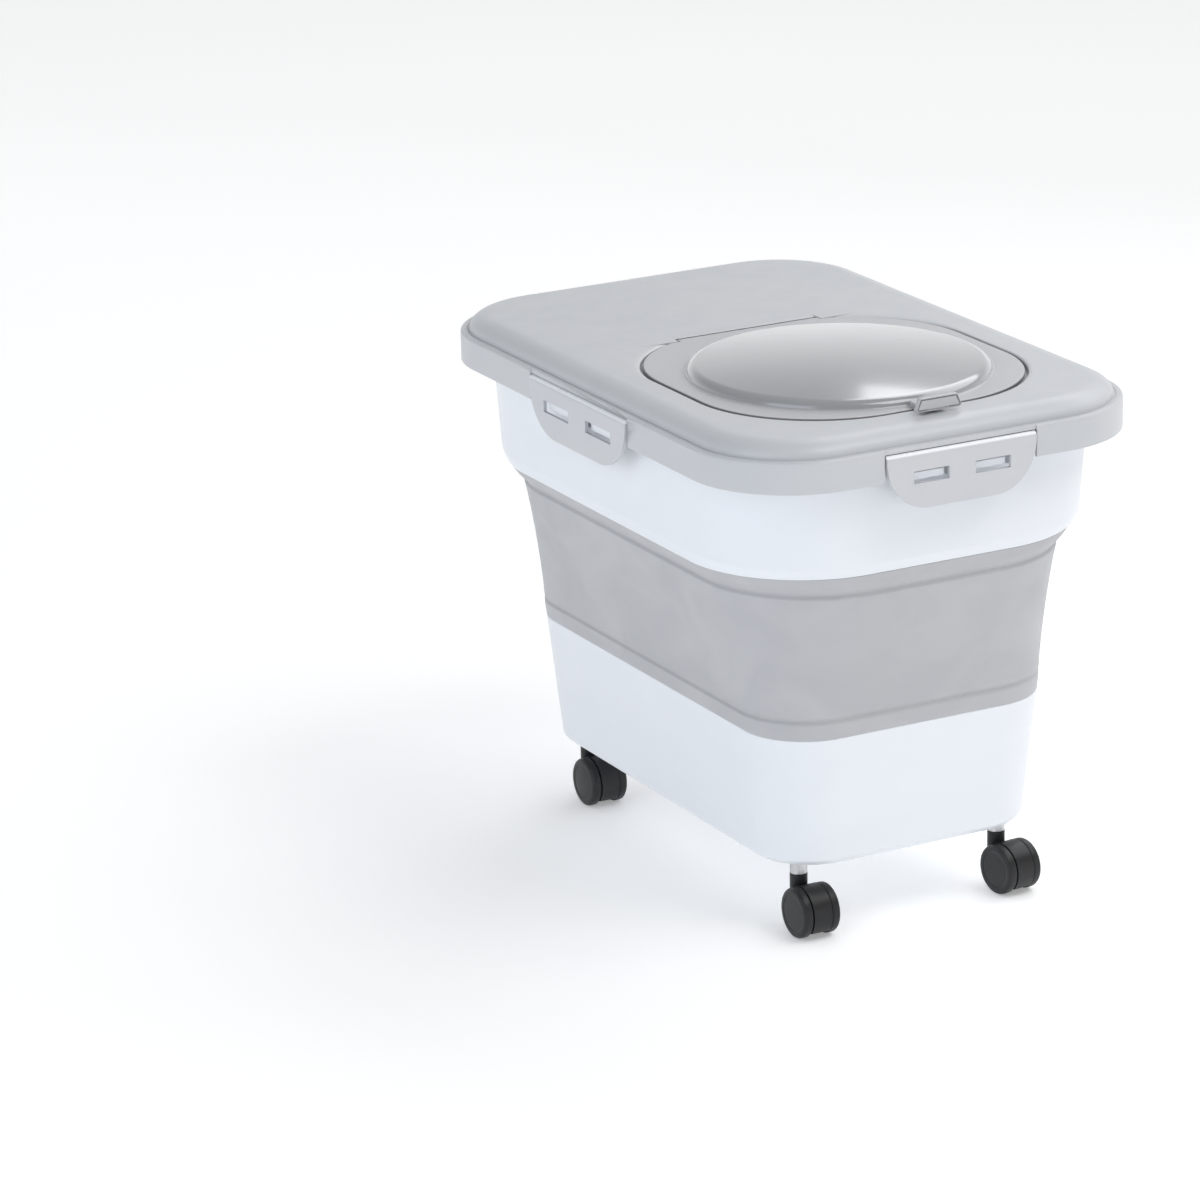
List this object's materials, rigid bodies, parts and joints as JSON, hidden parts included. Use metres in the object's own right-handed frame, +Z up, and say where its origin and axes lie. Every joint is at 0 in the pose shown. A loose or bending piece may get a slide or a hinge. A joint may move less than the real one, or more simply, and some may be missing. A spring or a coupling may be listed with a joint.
{
  "type": "rice bin with flip lid",
  "caption": "Folding rice bin on swivel casters, with a rubber folding wall, a lid held by side latches and a domed flip lid for pouring and scooping.",
  "frame": {"origin": "on the floor under the middle of the bin, at the bottom centre of the overall box", "axes": "+Z up, -Y towards the front end with the pull tab, Y along the long side, X across"},
  "size_m": [0.333, 0.484, 0.387],
  "materials": {
    "white_plastic": "satin",
    "band_rubber": "matte",
    "lid_plastic": "satin",
    "flip_plastic": "gloss",
    "latch_plastic": "satin",
    "seal_silicone": "matte",
    "pin_steel": "satin",
    "stem_steel": "satin",
    "black_plastic": "satin",
    "wheel_plastic": "satin"
  },
  "bodies": {
    "base": {"lower_tub": "white_plastic", "fold_band": "band_rubber", "caster_socket_fl": "black_plastic", "caster_socket_fr": "black_plastic", "caster_socket_bl": "black_plastic", "caster_socket_br": "black_plastic", "caster_stem_fl": "stem_steel", "caster_stem_fr": "stem_steel", "caster_stem_bl": "stem_steel", "caster_stem_br": "stem_steel"},
    "frame": {"upper_frame": "white_plastic"},
    "lid": {"main_lid": "lid_plastic", "lid_seal": "seal_silicone", "flip_hinge_pin": "pin_steel", "latch_pin_front": "pin_steel", "latch_pin_back": "pin_steel", "latch_pin_left": "pin_steel", "latch_pin_right": "pin_steel"},
    "flip": {"flip_lid": "flip_plastic", "flip_tab": "flip_plastic", "flip_seal": "seal_silicone"},
    "latch_front": {"latch_front": "latch_plastic"},
    "latch_back": {"latch_back": "latch_plastic"},
    "latch_left": {"latch_left": "latch_plastic"},
    "latch_right": {"latch_right": "latch_plastic"},
    "caster_front_left": {"caster_hood_fl": "black_plastic", "wheel_axle_fl": "stem_steel"},
    "wheel_front_left_left": {"wheel_fl_left": "wheel_plastic"},
    "wheel_front_left_right": {"wheel_fl_right": "wheel_plastic"},
    "caster_front_right": {"caster_hood_fr": "black_plastic", "wheel_axle_fr": "stem_steel"},
    "wheel_front_right_left": {"wheel_fr_left": "wheel_plastic"},
    "wheel_front_right_right": {"wheel_fr_right": "wheel_plastic"},
    "caster_back_left": {"caster_hood_bl": "black_plastic", "wheel_axle_bl": "stem_steel"},
    "wheel_back_left_left": {"wheel_bl_left": "wheel_plastic"},
    "wheel_back_left_right": {"wheel_bl_right": "wheel_plastic"},
    "caster_back_right": {"caster_hood_br": "black_plastic", "wheel_axle_br": "stem_steel"},
    "wheel_back_right_left": {"wheel_br_left": "wheel_plastic"},
    "wheel_back_right_right": {"wheel_br_right": "wheel_plastic"}
  },
  "joints": [
    {"name": "collapse", "type": "slide", "parent": "base", "child": "frame", "axis": [0, 0, -1], "range_m": [0, 0.185], "deforming": ["fold_band"]},
    {"name": "lid_lift", "type": "slide", "parent": "frame", "child": "lid", "axis": [0, 0, 1], "range_m": [0, 0.12]},
    {"name": "flip_open", "type": "hinge", "parent": "lid", "child": "flip", "pos_m": [0, 0.0494, 0.372], "axis": [-1, 0, 0], "range_deg": [0, 105]},
    {"name": "latch_front_open", "type": "hinge", "parent": "lid", "child": "latch_front", "pos_m": [0, -0.2382, 0.3567], "axis": [-1, 0, 0], "range_deg": [0, 100]},
    {"name": "latch_back_open", "type": "hinge", "parent": "lid", "child": "latch_back", "pos_m": [0, 0.2382, 0.3567], "axis": [1, 0, 0], "range_deg": [0, 100]},
    {"name": "latch_left_open", "type": "hinge", "parent": "lid", "child": "latch_left", "pos_m": [-0.1627, 0, 0.3567], "axis": [0, 1, 0], "range_deg": [0, 100]},
    {"name": "latch_right_open", "type": "hinge", "parent": "lid", "child": "latch_right", "pos_m": [0.1627, 0, 0.3567], "axis": [0, -1, 0], "range_deg": [0, 100]},
    {"name": "caster_front_left_swivel", "type": "hinge", "parent": "base", "child": "caster_front_left", "pos_m": [-0.0813, -0.1561, 0.036], "axis": [0, 0, 1], "continuous": true},
    {"name": "wheel_front_left_left_spin", "type": "hinge", "parent": "caster_front_left", "child": "wheel_front_left_left", "pos_m": [-0.0813, -0.1726, 0.018], "axis": [1, 0, 0], "continuous": true},
    {"name": "wheel_front_left_right_spin", "type": "hinge", "parent": "caster_front_left", "child": "wheel_front_left_right", "pos_m": [-0.0813, -0.1726, 0.018], "axis": [1, 0, 0], "continuous": true},
    {"name": "caster_front_right_swivel", "type": "hinge", "parent": "base", "child": "caster_front_right", "pos_m": [0.0813, -0.1561, 0.036], "axis": [0, 0, 1], "continuous": true},
    {"name": "wheel_front_right_left_spin", "type": "hinge", "parent": "caster_front_right", "child": "wheel_front_right_left", "pos_m": [0.08317, -0.17249, 0.018], "axis": [0.9936, 0.1132, 0], "continuous": true},
    {"name": "wheel_front_right_right_spin", "type": "hinge", "parent": "caster_front_right", "child": "wheel_front_right_right", "pos_m": [0.08317, -0.17249, 0.018], "axis": [0.9936, 0.1132, 0], "continuous": true},
    {"name": "caster_back_left_swivel", "type": "hinge", "parent": "base", "child": "caster_back_left", "pos_m": [-0.0813, 0.1561, 0.036], "axis": [0, 0, 1], "continuous": true},
    {"name": "wheel_back_left_left_spin", "type": "hinge", "parent": "caster_back_left", "child": "wheel_back_left_left", "pos_m": [-0.0813, 0.1396, 0.018], "axis": [1, 0, 0], "continuous": true},
    {"name": "wheel_back_left_right_spin", "type": "hinge", "parent": "caster_back_left", "child": "wheel_back_left_right", "pos_m": [-0.0813, 0.1396, 0.018], "axis": [1, 0, 0], "continuous": true},
    {"name": "caster_back_right_swivel", "type": "hinge", "parent": "base", "child": "caster_back_right", "pos_m": [0.0813, 0.1561, 0.036], "axis": [0, 0, 1], "continuous": true},
    {"name": "wheel_back_right_left_spin", "type": "hinge", "parent": "caster_back_right", "child": "wheel_back_right_left", "pos_m": [0.0813, 0.1396, 0.018], "axis": [1, 0, 0], "continuous": true},
    {"name": "wheel_back_right_right_spin", "type": "hinge", "parent": "caster_back_right", "child": "wheel_back_right_right", "pos_m": [0.0813, 0.1396, 0.018], "axis": [1, 0, 0], "continuous": true}
  ]
}
